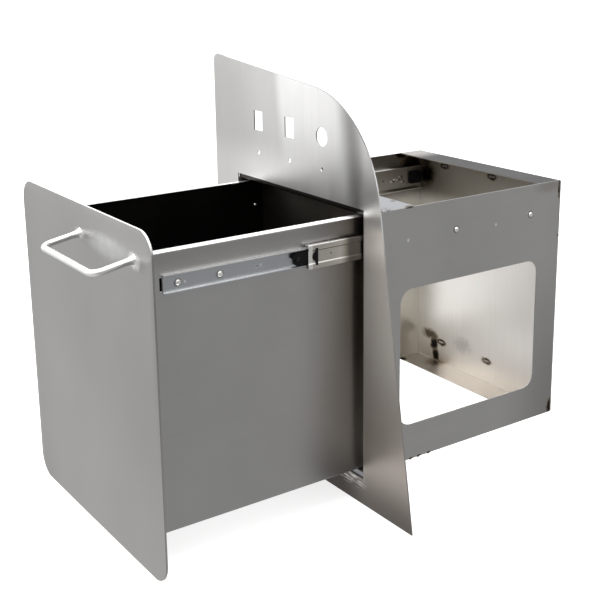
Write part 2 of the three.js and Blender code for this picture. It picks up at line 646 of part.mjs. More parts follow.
for (const [label, side] of [['right', 1], ['left', -1]]) {
  add(`side_panel_${label}`, sidePanel(side), STAINLESS);
  add(`slide_outer_${label}`, outerMember(side), ZINC);
  add(`slide_middle_${label}`, middleMember(side), ZINC);
  add(`slide_inner_${label}`, innerMember(side), ZINC);
  add(`outer_cage_${label}`, ballCage(side, OUTER_CAGE), BRASS_CAGE);
  add(`inner_cage_${label}`, ballCage(side, INNER_CAGE), BRASS_CAGE);
  add(`release_lever_${label}`, releaseLever(side), BLACK);
  add(`rear_bumper_${label}`, rearBumper(side), BLACK);
  add(`middle_clip_${label}`, middleClip(side), BLACK);
  chassisScrews.forEach((y, i) => {
    const seat = chassisHalf + CHASSIS_SHEET + GAP;
    add(`chassis_screw_${label}_${i + 1}`,
      panScrew(side, y, seat, GAP + CHASSIS_SHEET + GAP + SLIDE_SHEET), BRIGHT);
  });
  binScrews.forEach((y, i) => {
    const seat = binHalf + GAP + SLIDE_SHEET + GAP;
    add(`bin_screw_${label}_${i + 1}`,
      panScrew(side, y, seat, seat - binHalf + BIN_SHEET + SCREW_TIP), BRIGHT);
  });
}

export default group;
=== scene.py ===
# A built-in pull-out waste bin in stainless sheet steel, drawn fully open on its slides.
# Metres. X is to the right from the front, Y runs into the cabinet and Z is up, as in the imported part.
import math
import random

import bpy
from mathutils import Matrix, Vector


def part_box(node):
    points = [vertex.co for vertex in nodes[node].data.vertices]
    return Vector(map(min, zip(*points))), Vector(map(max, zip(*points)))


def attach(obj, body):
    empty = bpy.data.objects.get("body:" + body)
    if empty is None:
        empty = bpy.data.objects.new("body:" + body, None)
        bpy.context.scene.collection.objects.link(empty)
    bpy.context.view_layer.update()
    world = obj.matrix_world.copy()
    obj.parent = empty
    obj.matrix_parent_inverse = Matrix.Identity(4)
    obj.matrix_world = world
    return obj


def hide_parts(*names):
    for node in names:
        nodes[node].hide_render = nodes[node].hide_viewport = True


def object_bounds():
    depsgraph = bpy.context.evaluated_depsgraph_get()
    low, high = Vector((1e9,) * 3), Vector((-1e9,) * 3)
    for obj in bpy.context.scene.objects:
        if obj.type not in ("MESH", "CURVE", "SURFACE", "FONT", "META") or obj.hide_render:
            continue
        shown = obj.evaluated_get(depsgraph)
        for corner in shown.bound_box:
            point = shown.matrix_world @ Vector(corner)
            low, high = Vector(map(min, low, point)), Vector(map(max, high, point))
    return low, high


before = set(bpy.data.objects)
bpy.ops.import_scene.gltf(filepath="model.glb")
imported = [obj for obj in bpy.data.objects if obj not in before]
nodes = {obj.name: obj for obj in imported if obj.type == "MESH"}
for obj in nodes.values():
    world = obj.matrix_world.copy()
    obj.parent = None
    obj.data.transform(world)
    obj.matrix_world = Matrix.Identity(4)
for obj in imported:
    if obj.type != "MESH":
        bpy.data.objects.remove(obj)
cad_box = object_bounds()


# ---- Fascia plate ----------------------------------------------------------------------------
# A 2 mm stainless plate cut to a freehand outline, with an opening for the bin, two switch cut-outs,
# a key hole and three pilot holes. It is belt-brushed upright and was wiped by hand, and over the
# opening it carries a painted highlight band and painted reflections.

class Signal:
    """A value that changes over a surface. Sums with it add Math nodes to the same material."""

    def __init__(self, wiring, socket):
        self.wiring, self.socket = wiring, socket

    def sum(self, operation, *values):
        return self.wiring.node("Math", {"operation": operation}, dict(enumerate(values)))

    def __add__(self, other):
        return self.sum("ADD", self, other)

    def __sub__(self, other):
        return self.sum("SUBTRACT", self, other)

    def __rsub__(self, other):
        return self.sum("SUBTRACT", other, self)

    def __mul__(self, other):
        return self.sum("MULTIPLY", self, other)

    def __abs__(self):
        return self.sum("ABSOLUTE", self)

    __radd__ = __add__
    __rmul__ = __mul__

    def above(self, low, high):
        """0 below low and 1 above high, with a soft slope between them."""
        return self.wiring.node("MapRange", {"interpolation_type": "SMOOTHSTEP"},
                                {"Value": self, "From Min": low, "From Max": high})

    def within(self, low, high, soft):
        """1 between low and high and 0 outside them, with a soft slope at each."""
        return self.above(low - soft, low + soft) * (1 - self.above(high - soft, high + soft))


class Wiring:
    """The nodes of one material or of the world's light."""

    def __init__(self, owner):
        owner.use_nodes = True
        self.tree = owner.node_tree

    def node(self, kind, settings=None, sockets=None, output=0):
        made = self.tree.nodes.new("ShaderNode" + kind)
        for name, value in (settings or {}).items():
            setattr(made, name, value)
        for name, value in (sockets or {}).items():
            if isinstance(value, Signal):
                self.tree.links.new(value.socket, made.inputs[name])
            else:
                made.inputs[name].default_value = value
        return Signal(self, made.outputs[output])

    def parts(self, vector):
        return [self.node("SeparateXYZ", None, {0: vector}, axis) for axis in "XYZ"]

    def blend(self, under, over, mask):
        """One colour laid over another where the mask is 1."""
        return self.node("Mix", {"data_type": "RGBA"}, {0: mask, 6: under, 7: over}, 2)


class Finish(Wiring):
    """A metal or plastic finish. Its colour, shade, gloss and height are built up, then closed."""

    def __init__(self, name, colour, roughness, metallic=1.0):
        self.material = bpy.data.materials.new(name)
        super().__init__(self.material)
        self.shader = self.tree.nodes["Principled BSDF"]
        self.place = self.node("TexCoord", output="Object")
        self.x, self.y, self.z = self.parts(self.place)
        self.facing = self.parts(self.node("TexCoord", output="Normal"))
        self.colour, self.roughness, self.metallic = colour + (1.0,), roughness, metallic
        self.shade, self.height = 1.0, 0.0

    def noise(self, scale, detail=2.0, rough=0.5):
        stretched = self.node("VectorMath", {"operation": "MULTIPLY"}, {0: self.place, 1: scale})
        return self.node("TexNoise", None, {"Vector": stretched, "Scale": 1.0, "Detail": detail,
                                            "Roughness": rough}, "Fac")

    def spot(self, centre, size, wobble=0.0):
        """1 at the centre and 0 past the size, with a ragged edge where it wobbles."""
        offset = self.node("VectorMath", {"operation": "SUBTRACT"}, {0: self.place, 1: centre})
        share = self.node("VectorMath", {"operation": "DIVIDE"}, {0: offset, 1: size})
        far = self.node("VectorMath", {"operation": "LENGTH"}, {0: share}, "Value")
        if wobble:
            far = far + wobble * (self.noise((130, 130, 130), 4, 0.6) - 0.5)
        return 1 - far.above(0.25, 1.0)

    def lay(self, colour, mask):
        self.colour = self.blend(self.colour, colour + (1.0,), mask)

    def scorch(self, centre, size, depth=1.0):
        """Weld heat: a straw and brown halo round a sooty middle."""
        heat = self.spot(centre, size, 0.55) * depth
        self.lay((0.24, 0.19, 0.14), heat.above(0.02, 0.5))
        self.lay((0.06, 0.045, 0.04), heat.above(0.3, 0.75))
        self.lay((0.012, 0.010, 0.010), heat.above(0.6, 0.95))

    def close(self, *names):
        """Joins what was built up to the shader, and puts the finish on CAD nodes."""
        plain = self.colour if isinstance(self.colour, Signal) else self.colour[:3]
        colour = self.node("VectorMath", {"operation": "SCALE"}, {0: plain, "Scale": self.shade})
        self.tree.links.new(colour.socket, self.shader.inputs["Base Color"])
        for name, value in (("Roughness", self.roughness), ("Metallic", self.metallic)):
            if isinstance(value, Signal):
                self.tree.links.new(value.socket, self.shader.inputs[name])
            else:
                self.shader.inputs[name].default_value = value
        bump = self.node("Bump", None, {"Height": self.height, "Distance": 1.0, "Strength": 1.0})
        self.tree.links.new(bump.socket, self.shader.inputs["Normal"])
        for name in names:
            dress(nodes[name], self)


def dress(piece, finish):
    piece.data.materials.clear()
    piece.data.materials.append(finish.material)


UPRIGHT = (900, 900, 11)        # brush lines run up the sheet
LENGTHWISE = (900, 11, 900)     # or along Y
CROSSWISE = (11, 900, 900)      # or along X


def brushed(name, colour, roughness, lines=UPRIGHT, contrast=0.10):
    """Brushed sheet steel: fine parallel lines, hand marks, and the slight wave of a thin sheet."""
    finish = Finish(name, colour, roughness)
    grain = finish.noise(lines, 3)
    wiped = finish.noise((9, 9, 6), 3)
    finish.shade = 1 + contrast * (grain - 0.5) + 0.14 * (wiped - 0.5)
    finish.roughness = roughness + 0.12 * (grain - 0.5) + 0.16 * (wiped - 0.5)
    finish.height = 0.000004 * grain + 0.0006 * finish.noise((6, 6, 6), 1)
    return finish


fascia = brushed("fascia_brushed", (0.50, 0.495, 0.485), 0.36)
fascia.lay((0.61, 0.605, 0.60), fascia.x.above(-0.20, -0.05))

# Over the opening: a painted highlight band, a painted dark reflection beside it, and a lighter painted
# highlight on the edge past that.
LEAN = 0.12                                     # the bands move to the right going down
across = fascia.x + LEAN * fascia.z
painted_highlight_band = across.within(0.020, 0.172, 0.014) * fascia.z.above(0.40, 0.54)
streaks = fascia.noise((60, 60, 1.5), 3, 0.6)
fascia.lay((0.86, 0.855, 0.85), painted_highlight_band * (0.70 + 0.6 * streaks))
over_opening = (1 - fascia.z.above(0.405, 0.475)) * (1 - fascia.x.above(0.12, 0.16))
fascia.lay((0.92, 0.91, 0.90), over_opening * (0.28 + 0.37 * fascia.x.above(-0.20, -0.10)))
fascia.lay((0.34, 0.335, 0.33), across.within(0.186, 0.216, 0.014) * fascia.z.above(0.35, 0.44))
fascia.lay((0.78, 0.77, 0.76), across.above(0.214, 0.236) * fascia.z.above(0.385, 0.42))

# Beside the opening: a strip wiped dull, with painted shade near its top and a painted highlight below
# that, and browner towards the foot.
right_edge = fascia.x.above(0.15, 0.175)
fascia.lay((0.62, 0.61, 0.59), right_edge * (1 - fascia.z.above(0.42, 0.46)))
fascia.lay((0.93, 0.88, 0.82), right_edge * (1 - fascia.z.above(0.372, 0.392)))
wiped_dull = fascia.z.within(0.20, 0.38, 0.08) + fascia.z.within(0.335, 0.375, 0.02)
fascia.metallic = 1 - 0.14 * right_edge * wiped_dull
fascia.lay((0.60, 0.54, 0.49), fascia.x.above(0.15, 0.18) * (1 - fascia.z.above(0.05, 0.20)))

# The foot: darkened by painted shade under the bin, most at the left, with scratches where the bin's
# corner rubbed.
fascia.lay((0.172, 0.153, 0.137), 1 - fascia.z.above(-0.045, 0.05))
fascia.lay((0.075, 0.062, 0.056), (1 - fascia.x.above(0.11, 0.185)) * (1 - fascia.z.above(-0.03, 0.02)))
rubbed = fascia.spot((0.140, 0.0, -0.015), (0.045, 0.02, 0.018), 0.4)
scratches = fascia.noise((50, 160, 420), 3).above(0.48, 0.66)
fascia.lay((0.70, 0.67, 0.64), rubbed * scratches)

# The cut edges: a painted highlight near the top of the opening, dimmer lower down, and painted shade on
# the plate's top edge.
cut_edge = 1 - abs(fascia.facing[1]).above(0.5, 0.6)
fascia.lay((0.95, 0.95, 0.95), cut_edge * (1 - fascia.z.above(0.44, 0.50)))
fascia.lay((0.42, 0.40, 0.38), cut_edge * (1 - fascia.z.above(0.34, 0.40)))
fascia.lay((0.20, 0.20, 0.20), cut_edge * fascia.z.above(0.44, 0.50))
fascia.close("fascia_plate")


# ---- Chassis ---------------------------------------------------------------------------------
# Two side panels with windows, a folded rear panel and two rails, in 1.5 mm stainless. They are
# tack-welded at the corners and through slots in the rear panel, and the welds were never cleaned.


def middle(node):
    """The middle of a node's box."""
    low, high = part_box(node)
    return (low + high) / 2


SHEET = 0.0015
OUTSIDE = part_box("side_panel_right")[0].x + SHEET       # the right panel's outer face
LEFT_INSIDE = -OUTSIDE + SHEET                          # the left panel's inner face
SCORCH_Y = 0.389                                        # just ahead of the rear corners
LEVEL = middle("slide_outer_right").z                   # the height of the slides' middle
RAIL_TACKS = (0.088, 0.104, 0.124)                      # along the bottom front rail

side = brushed("chassis_side_brushed", (0.57, 0.565, 0.555), 0.34, LENGTHWISE)
side.lay((0.39, 0.38, 0.37), side.y.above(0.26, 0.39) * (1 - side.z.above(0.02, 0.30)))
inner_face = 1 - (side.x * side.facing[0]).above(-0.02, 0.02)
# Painted light and shade inside: the inner faces are made lighter, with painted shade high up.
side.lay((0.80, 0.78, 0.71), inner_face)
side.lay((0.205, 0.188, 0.17), inner_face * side.z.above(0.30, 0.33))
side.lay((0.50, 0.49, 0.48), 1 - abs(side.facing[0]).above(0.5, 0.6))          # cut edges
for y, z in ((0.078, 0.346), (0.252, 0.343)):                                   # bright nicks
    side.lay((0.95, 0.93, 0.9), side.spot((OUTSIDE, y, z), (0.01, 0.0032, 0.004), 0.4))
for name in ("chassis_screw_right_1", "chassis_screw_right_2"):                 # painted shadow round the screw heads
    side.lay((0.10, 0.095, 0.09),
             side.spot((OUTSIDE, middle(name).y, LEVEL), (0.01, 0.0075, 0.0075), 0.5))
for y in RAIL_TACKS:
    side.scorch((OUTSIDE, y, -0.002), (0.01, 0.008, 0.006))
side.scorch((OUTSIDE, SCORCH_Y, 0.382), (0.004, 0.0045, 0.020), 0.9)
side.scorch((OUTSIDE, SCORCH_Y, 0.010), (0.004, 0.010, 0.020), 0.9)
side.scorch((OUTSIDE, 0.080, 0.397), (0.004, 0.014, 0.005))
side.scorch((LEFT_INSIDE, 0.368, 0.372), (0.003, 0.04, 0.03), inner_face * 0.85)
side.scorch((LEFT_INSIDE, 0.344, 0.396), (0.003, 0.026, 0.016), inner_face)
side.lay((0.36, 0.32, 0.27), side.spot((OUTSIDE, 0.365, 0.388), (0.004, 0.040, 0.014), 0.7) * 0.5)
side.close("side_panel_right", "side_panel_left")

INSIDE_Y = 0.3896                               # just ahead of the rear panel's inner face
SLOT_X, SLOT_Z = (-0.104, 0.016), (0.041, 0.375)

# Painted light and shade on the rear panel: its inner face is given a light colour, darker towards the
# foot, with painted shade high up.
rear = brushed("rear_panel_brushed", (1.0, 0.96, 0.92), 0.40, UPRIGHT, 0.16)
rear.lay((0.76, 0.72, 0.67), 1 - rear.z.above(0.03, 0.12))
rear.lay((0.40, 0.37, 0.32), rear.z.above(0.30, 0.33))
facing_out = rear.y.above(0.3908, 0.3912)
rear.metallic = 1 - 0.10 * rear.z.within(0.05, 0.29, 0.03) * (1 - facing_out)
rear.lay((0.58, 0.575, 0.565), facing_out)
facing_up = rear.facing[2].above(0.5, 0.7)
top_flange = facing_up * rear.z.above(0.392, 0.393)
flecked = rear.noise((260, 260, 260), 4, 0.7).above(0.45, 0.7)
rear.colour = rear.blend(rear.colour, rear.blend((0.014, 0.0145, 0.016, 1), (0.055, 0.055, 0.055, 1),
                                                 flecked), top_flange)
rear.lay((0.38, 0.37, 0.35), top_flange * (1 - rear.x.above(-0.15, -0.10)))
rear.lay((0.90, 0.90, 0.90), top_flange * rear.noise((420, 420, 420), 2).above(0.74, 0.78))
rear.lay((0.375, 0.347, 0.312), facing_up * (1 - rear.z.above(0.01, 0.02)))
rear.lay((0.50, 0.47, 0.44), rear.spot((-0.047, INSIDE_Y, 0.052), (0.034, 0.003, 0.022), 0.6) * 0.7)
for x in SLOT_X:
    for z in SLOT_Z:
        rear.scorch((x, INSIDE_Y, z), (0.0185, 0.003, 0.0095))
for centre, size, depth in (((-0.1235, INSIDE_Y, 0.034), (0.015, 0.003, 0.024), 1.0),
                            ((-0.1185, INSIDE_Y, 0.012), (0.013, 0.003, 0.020), 1.0),
                            ((-0.135, INSIDE_Y, 0.049), (0.036, 0.003, 0.016), 0.55),
                            ((-0.112, 0.385, 0.0015), (0.03, 0.035, 0.004), 0.5),
                            ((-0.150, INSIDE_Y, 0.355), (0.030, 0.003, 0.036), 0.9),
                            ((-0.160, 0.345, 0.001), (0.012, 0.010, 0.01), 1.0)):
    rear.scorch(centre, size, depth)
rear.close("rear_panel")

RAIL_TOP = 0.395
rail = brushed("rail_brushed", (0.325, 0.33, 0.35), 0.34, CROSSWISE)
rail.lay((0.05, 0.045, 0.04), (1 - rail.y.above(0.003, 0.005)) * rail.z.above(0.38, 0.385))
rail.lay((0.01, 0.01, 0.01), rail.spot((0.124, 0.086, RAIL_TOP), (0.006, 0.006, 0.01)))
rail.scorch((0.166, 0.084, RAIL_TOP), (0.010, 0.014, 0.01), 0.9)
rail.lay((0.03, 0.03, 0.03), rail.spot((0.160, 0.040, RAIL_TOP), (0.02, 0.02, 0.01))
         * rail.noise((500, 500, 500), 2).above(0.52, 0.56))
rail.close("top_front_rail", "bottom_front_rail")


# ---- Welds -----------------------------------------------------------------------------------
# The four slots of the rear panel are filled with plug welds, and short rippled beads close the
# corners of the chassis. They are unground, and blue-black with heat.

random.seed(4)


def no_selection():
    bpy.ops.object.select_all(action="DESELECT")


def edit(select, kind="EDGE"):
    """Goes into edit mode on the active piece, with only the edges or points that pass selected."""
    mesh = bpy.context.object.data
    bpy.ops.object.mode_set(mode="EDIT")
    bpy.ops.mesh.select_mode(type=kind)
    bpy.ops.mesh.select_all(action="DESELECT")
    bpy.ops.object.mode_set(mode="OBJECT")
    for item in mesh.edges if kind == "EDGE" else mesh.vertices:
        item.select = select(*(mesh.vertices[i].co for i in getattr(item, "vertices", [item.index])))
    bpy.ops.object.mode_set(mode="EDIT")


def settle(piece, name, body, angle=40, stands_for=()):
    """Applies the piece's place, shades it and lets it ride on its body."""
    if bpy.context.object.mode == "EDIT":
        bpy.ops.object.mode_set(mode="OBJECT")
    no_selection()
    piece.select_set(True)
    bpy.context.view_layer.objects.active = piece
    bpy.ops.object.transform_apply(location=True, rotation=True, scale=True)
    bpy.ops.object.shade_smooth_by_angle(angle=math.radians(angle))
    piece.name = piece.data.name = name
    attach(piece, body)
    if stands_for:
        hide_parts(*stands_for)
    return piece


def disc(place, radius, turned, corners):
    """A flat disc, in edit mode and selected, that faces the way it is turned."""
    no_selection()
    bpy.ops.mesh.primitive_circle_add(vertices=corners, radius=radius, fill_type="NGON",
                                      location=place, rotation=turned)
    bpy.ops.object.transform_apply(location=True, rotation=True, scale=True)
    bpy.ops.object.mode_set(mode="EDIT")
    bpy.ops.mesh.select_all(action="SELECT")
    return bpy.context.object


def draw_out(place, along, radii, first):
    """Draws the selected disc out in steps, each a length along the way and the radius it ends at."""
    place, way, now = Vector(place), Vector(along), first
    for length, radius in radii:
        bpy.ops.mesh.extrude_region_move(TRANSFORM_OT_translate={"value": way * length})
        place = place + way * length
        bpy.ops.transform.resize(value=(radius / now,) * 3, center_override=place)
        now = radius


def close_up():
    """Merges doubled points and turns every face outwards."""
    bpy.ops.mesh.select_all(action="SELECT")
    bpy.ops.mesh.remove_doubles(threshold=0.000001)
    bpy.ops.mesh.normals_make_consistent(inside=False)


weld = Finish("weld_metal", (0.30, 0.265, 0.225), 0.42)
lumps = weld.noise((600, 600, 600), 3, 0.6)
weld.lay((0.05, 0.045, 0.05), lumps.above(0.48, 0.66))
weld.roughness = 0.34 + 0.3 * lumps
weld.height = 0.0002 * lumps
weld.close()

SLOT_HALF, SLOT_RADIUS = 0.005, 0.00196
PLUG_BACK = 0.3916                              # where a plug starts, inside the sheet
PLUG_STEPS = ((None, 0.0014), (0.0005, -0.0004), (0.0005, 0.0006), (0.0006, 0.0003))  # inset, rise
for i, (x, z) in enumerate((x, z) for x in SLOT_X for z in SLOT_Z):
    disc((x, PLUG_BACK, z), SLOT_RADIUS, (math.pi / 2, 0, 0), 26)
    for way in (-1, 1):
        edit(lambda point: (point.x - x) * way > 0, "VERT")
        bpy.ops.transform.translate(value=(way * SLOT_HALF, 0, 0))
    bpy.ops.mesh.select_all(action="SELECT")
    bpy.ops.mesh.select_mode(type="FACE")
    for thickness, rise in PLUG_STEPS:
        if thickness:
            bpy.ops.mesh.inset(thickness=thickness)
            bpy.ops.transform.translate(value=(0, -rise, 0))
        else:
            bpy.ops.mesh.extrude_region_move(TRANSFORM_OT_translate={"value": (0, -rise, 0)})
    close_up()
    dress(settle(bpy.context.object, f"plug_weld_{i + 1}", "chassis", 50), weld)


RIPPLE = 0.0016                                 # the pitch of a bead's ripples


def bead(name, start, end, radius):
    """A short run of weld from one point to another: ripples that wander a little."""
    start, end = Vector(start), Vector(end)
    along = (end - start).normalized()
    ripples = max(2, round((end - start).length / RIPPLE))
    step = (end - start).length / ripples / 2
    run = []
    for i in range(ripples):
        run += [(step, radius * random.uniform(0.85, 1.0)), (step, radius * random.uniform(0.6, 0.8))]
    run[-1] = (step, radius * 0.3)
    disc(start, radius * 0.4, along.to_track_quat("Z", "Y").to_euler(), 10)
    draw_out(start, along, run, radius * 0.4)
    close_up()
    dress(settle(bpy.context.object, name, "chassis", 60), weld)


CORNER_BEAD, TACK_BEAD, RAIL_BEAD = 0.0016, 0.0014, 0.0013         # radii
HALF_TACK, TACK_SINK, RAIL_RISE = 0.0025, 0.0006, 0.0002
chassis_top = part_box("side_panel_right")[1].z
corner_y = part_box("side_panel_right")[1].y
for hand, x in (("right", OUTSIDE), ("left", -OUTSIDE)):
    for name, low, high in (("corner_weld_top", chassis_top - 0.029, chassis_top - 0.001),
                            ("corner_weld_base", 0.001, 0.021), ("corner_tack", 0.303, 0.308)):
        bead(f"{name}_{hand}", (x, corner_y, low), (x, corner_y, high), CORNER_BEAD)
    under = x - math.copysign(0.0012, x)
    for i, y in enumerate(RAIL_TACKS):
        bead(f"rail_tack_{hand}_{i + 1}", (under, y - HALF_TACK, -TACK_SINK),
             (under, y + HALF_TACK, -TACK_SINK), TACK_BEAD)
    over = x - math.copysign(0.0014, x)
    for i, (y, length) in enumerate(((0.026, 0.006), (0.040, 0.004), (0.082, 0.007))):
        bead(f"rail_weld_{hand}_{i + 1}", (over, y, chassis_top + RAIL_RISE),
             (over, y + length, chassis_top + RAIL_RISE), RAIL_BEAD)


# ---- Slides ----------------------------------------------------------------------------------
# A pair of three-section ball-bearing slides, rolled from zinc-plated strip with a faint blue cast.
# Screws through punched holes hold the outer member to the chassis and the inner one to the bin.

HANDS = ("right", "left")
INNER_WEB, MIDDLE_WEB, OUTER_WEB = 0.1565, 0.165, 0.1664        # the members' faces, out from the middle


def rolled_lips(member):
    """The lips that face up or down on a rolled member."""
    return abs(member.facing[2]).above(0.55, 0.8)


zinc = brushed("slide_zinc", (0.54, 0.56, 0.58), 0.30, LENGTHWISE, 0.14)
# Painted highlight on the lips that face up or down.
zinc.lay((0.95, 0.95, 0.95), rolled_lips(zinc))
for name in ("bin_screw_right_1", "bin_screw_right_2"):                 # painted shadow round the screw heads
    zinc.lay((0.13, 0.125, 0.12), zinc.spot((INNER_WEB, middle(name).y, LEVEL - 0.0006),
                                            (0.004, 0.0070, 0.0070), 0.6))
front_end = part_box("slide_inner_right")[0].y
zinc.lay((0.95, 0.95, 0.93), zinc.spot((INNER_WEB, front_end + 0.0315, LEVEL - 0.001),
                                       (0.004, 0.0022, 0.0028)))
for y in (0.139, 0.146):
    zinc.lay((0.85, 0.84, 0.82), zinc.spot((INNER_WEB, front_end + y, LEVEL + 0.001),
                                           (0.004, 0.0026, 0.0030), 0.5))
pivot_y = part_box("release_lever_right")[0].y + 0.0096
for x in (0.160, -0.160):                       # the blackened ends of the lever pivots
    zinc.lay((0.01, 0.01, 0.01), zinc.spot((x, pivot_y, LEVEL), (0.0035, 0.005, 0.005)))
zinc.close(*(f"slide_inner_{hand}" for hand in HANDS))

middle_zinc = brushed("slide_middle_zinc", (0.60, 0.57, 0.525), 0.32, LENGTHWISE, 0.14)
# Painted highlight on the lips that face up or down.
middle_zinc.lay((0.95, 0.95, 0.95), rolled_lips(middle_zinc))
height = middle_zinc.z - LEVEL
# A painted shade line along the upper fold and a painted highlight line along the lower one.
middle_zinc.lay((0.09, 0.085, 0.08), height.within(0.0082, 0.0094, 0.0005))
middle_zinc.lay((0.95, 0.93, 0.90), height.within(-0.0094, -0.0080, 0.0004))
middle_zinc.lay((0.95, 0.95, 0.93), 1 - middle_zinc.y.above(-0.0880, -0.0865))
# Painted shade near the fascia, on the stretch of member that stands out of the chassis.
middle_zinc.lay((0.12, 0.11, 0.10), middle_zinc.y.above(-0.042, -0.022)
                * (1 - middle_zinc.y.above(0.02, 0.10)))
middle_zinc.lay((0.16, 0.15, 0.14), middle_zinc.spot((MIDDLE_WEB, -0.056, LEVEL + 0.001),
                                                     (0.004, 0.002, 0.002)))
middle_zinc.close(*(f"slide_middle_{hand}" for hand in HANDS))

outer_zinc = brushed("slide_outer_zinc", (0.42, 0.395, 0.36), 0.34, LENGTHWISE, 0.18)
# Painted highlight on the lips, and painted shade on them at the rear end.
rear_end = outer_zinc.y.above(0.30, 0.33)
outer_zinc.lay((0.95, 0.95, 0.93), rolled_lips(outer_zinc) * (1 - rear_end))
outer_zinc.lay((0.05, 0.045, 0.04), rear_end * rolled_lips(outer_zinc))
for y, z in ((0.318, -0.003), (0.331, -0.001), (0.342, -0.006), (0.337, 0.004),
             (0.250, -0.004), (0.262, -0.007)):                         # dents, shown only as a painted highlight beside a painted shadow
    outer_zinc.lay((0.98, 0.97, 0.94), outer_zinc.spot((-OUTER_WEB, y, LEVEL + z),
                                                       (0.004, 0.0030, 0.0024), 0.5))
    outer_zinc.lay((0.04, 0.035, 0.03), outer_zinc.spot((-OUTER_WEB, y + 0.006, LEVEL + z),
                                                        (0.004, 0.0026, 0.0024), 0.5))
outer_zinc.close(*(f"slide_outer_{hand}" for hand in HANDS))

steel_cage = brushed("cage_steel", (0.48, 0.47, 0.44), 0.36, LENGTHWISE)
steel_cage.close(*(f"{part}_cage_{hand}" for part in ("outer", "inner") for hand in HANDS))


# ---- Plastic pieces on the slides ------------------------------------------------------------
# Release levers, rear stops and middle clips, moulded in black acetal with a fine matt grain. The levers
# turn on pivots in the inner members. The clips sit on the middle members, the stops on the outer ones.

acetal = Finish("black_acetal", (0.004, 0.004, 0.0045), 0.5, 0.0)
acetal.shader.inputs["Specular IOR Level"].default_value = 0.08
mould = acetal.noise((2500, 2500, 2500), 2)
acetal.roughness = 0.5 + 0.2 * mould
acetal.shade = 0.8 + 0.5 * mould
acetal.height = 0.00001 * mould
acetal.close(*(f"{part}_{hand}" for part in ("release_lever", "rear_bumper", "middle_clip")
               for hand in HANDS))


# ---- Screws ----------------------------------------------------------------------------------
# Bright steel pan-head screws with a rolled thread and a cross recess. Four hold the slides to the
# chassis and six hold them to the bin.

SHANK_RADIUS, ROOT_RADIUS, TIP_RADIUS, HEAD_RISE = 0.0018, 0.0015, 0.0012, 0.0024
PITCH, LEAD_IN = 0.0007, 0.0006
DOME = ((0.0, 0.0040), (0.0007, 0.00395), (0.0006, 0.0036), (0.0005, 0.0030), (0.0004, 0.0021),
        (0.0002, 0.0010))
CROSS_DEPTH, CROSS_WIDTH, CROSS_LENGTH = 0.0018, 0.0009, 0.0042


def pan_head(name, node, body):
    """One screw in the right-hand side, pointing at the bin, in the place of its node."""
    low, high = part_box(node)
    centre = middle(node)
    tip = Vector((low.x, centre.y, centre.z))
    shank = high.x - HEAD_RISE - low.x
    turns = int((shank - LEAD_IN) / PITCH)
    thread = [(LEAD_IN, SHANK_RADIUS)] + [(PITCH / 2, radius) for _ in range(turns)
                                          for radius in (ROOT_RADIUS, SHANK_RADIUS)]
    thread.append((shank - sum(length for length, _ in thread), SHANK_RADIUS))
    screw = disc(tip, TIP_RADIUS, (0, math.pi / 2, 0), 24)
    draw_out(tip, (1, 0, 0), thread + list(DOME), TIP_RADIUS)
    close_up()
    bpy.ops.object.mode_set(mode="OBJECT")
    for size in ((CROSS_DEPTH, CROSS_LENGTH, CROSS_WIDTH), (CROSS_DEPTH, CROSS_WIDTH, CROSS_LENGTH)):
        no_selection()
        bpy.ops.mesh.primitive_cube_add(size=1, location=(high.x, centre.y, centre.z))
        cutter = bpy.context.object
        cutter.scale = size
        bpy.ops.object.transform_apply(location=True, rotation=True, scale=True)
        no_selection()
        screw.select_set(True)
        bpy.context.view_layer.objects.active = screw
        recess = screw.modifiers.new("recess", "BOOLEAN")
        recess.operation, recess.object, recess.solver = "DIFFERENCE", cutter, "EXACT"
        bpy.ops.object.modifier_apply(modifier="recess")
        bpy.data.objects.remove(cutter)
    return settle(screw, name, body, 35, (node,))


def copy_to(piece, name, node, body, half_turn):
    """A copy of a screw in another node's place. A half turn points it the other way."""
    no_selection()
    piece.select_set(True)
    bpy.context.view_layer.objects.active = piece
    bpy.ops.object.duplicate()
    twin = bpy.context.object
    if half_turn:
        bpy.ops.transform.rotate(value=math.pi, orient_axis="Z", center_override=(0, 0, 0))
        bpy.ops.object.transform_apply(location=True, rotation=True, scale=True)
    low = Vector([min(vertex.co[i] for vertex in twin.data.vertices) for i in range(3)])
    bpy.ops.transform.translate(value=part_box(node)[0] - low)
    return settle(twin, name, body, 35, (node,))


screw_metal = Finish("bright_screw", (0.97, 0.96, 0.93), 0.2)
tumbled = screw_metal.noise((900, 900, 900), 3)
screw_metal.shade = 0.9 + 0.2 * tumbled
screw_metal.roughness = 0.14 + 0.22 * tumbled
screw_metal.height = 0.00003 * tumbled
screw_metal.close()

for kind, count, body in (("chassis_screw", 2, "chassis"), ("bin_screw", 3, "drawer")):
    first = pan_head(f"{kind}_cross_right_1", f"{kind}_right_1", body)
    dress(first, screw_metal)
    for hand in HANDS:
        for i in range(1, count + 1):
            if (hand, i) != ("right", 1):
                dress(copy_to(first, f"{kind}_cross_{hand}_{i}", f"{kind}_{hand}_{i}", body,
                              hand == "left"), screw_metal)


# ---- Bin -------------------------------------------------------------------------------------
# The bin is folded from 1.2 mm stainless with its rims turned in, and its two ends are welded in.
# Its outside is brushed lengthwise. Its inside is darkened with painted shade, as is its side near the
# fascia, and its rims carry a painted highlight.

HALF_SHEET = 0.0006
inner_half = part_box("bin_wrap")[1].x - HALF_SHEET
floor_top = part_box("bin_wrap")[0].z + HALF_SHEET
rim_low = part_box("bin_wrap")[1].z - HALF_SHEET

